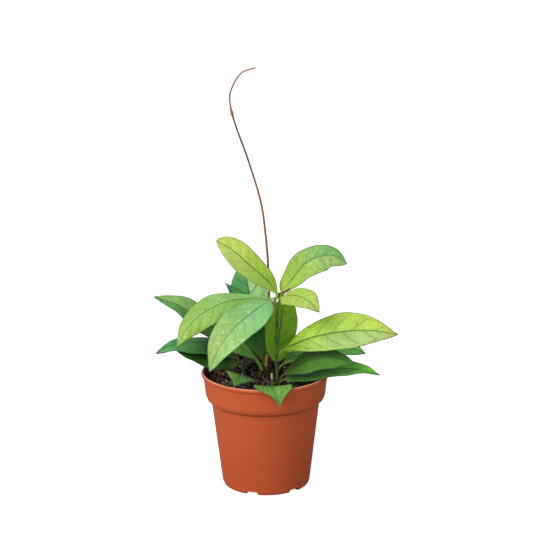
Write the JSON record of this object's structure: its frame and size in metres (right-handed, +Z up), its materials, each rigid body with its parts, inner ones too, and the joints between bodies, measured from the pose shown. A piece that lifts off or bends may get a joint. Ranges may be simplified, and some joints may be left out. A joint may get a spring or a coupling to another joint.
{
  "type": "potted hoya plant",
  "caption": "Young hoya with waxy veined leaves and a long leafless shoot, rooted in potting mix in a round terracotta-coloured plastic nursery pot.",
  "frame": {"origin": "centre of the pot's flat base, on the surface that it stands on", "axes": "+Z up along the pot's axis, -Y towards the front of the picture, +X to its right"},
  "size_m": [0.1968, 0.1146, 0.3463],
  "materials": {
    "terracotta_plastic": "matte moulded plastic",
    "potting_mix": "rough fibrous peat and bark with perlite",
    "green_stem": "satin green bark",
    "tan_stem": "matte tan bark",
    "grey_stem": "matte greyish bark",
    "brown_shoot": "satin brown bark",
    "pale_cut": "matte cut wood",
    "young_leaf": "waxy satin, yellow-green with dark veins",
    "light_leaf": "waxy satin, light green with silver flecks",
    "green_leaf": "waxy satin, mid green",
    "dark_leaf": "waxy satin, dark green",
    "blue_leaf": "waxy satin, blue-green with dark veins",
    "dry_leaf": "dry, matte, grey-brown"
  },
  "bodies": {
    "root": {"pot": "terracotta_plastic", "soil": "potting_mix", "main_stem": "green_stem", "back_stem": "tan_stem", "left_stem": "grey_stem", "long_shoot": "brown_shoot", "pale_stub": "pale_cut", "flower_spur": "brown_shoot", "cut_stub": "pale_cut", "leaf_top_left": "young_leaf", "leaf_top_right": "light_leaf", "leaf_top_small": "young_leaf", "leaf_left_upper": "light_leaf", "leaf_left_front": "light_leaf", "leaf_far_left": "green_leaf", "leaf_low_left": "green_leaf", "leaf_low_left_under": "dark_leaf", "leaf_right_large": "young_leaf", "leaf_right_middle": "green_leaf", "leaf_right_low": "dark_leaf", "leaf_right_back": "green_leaf", "leaf_behind_stem": "green_leaf", "leaf_back_tall": "blue_leaf", "leaf_back_slim": "dark_leaf", "leaf_dry": "dry_leaf", "leaf_front_left": "green_leaf", "leaf_front": "light_leaf"}
  },
  "joints": []
}
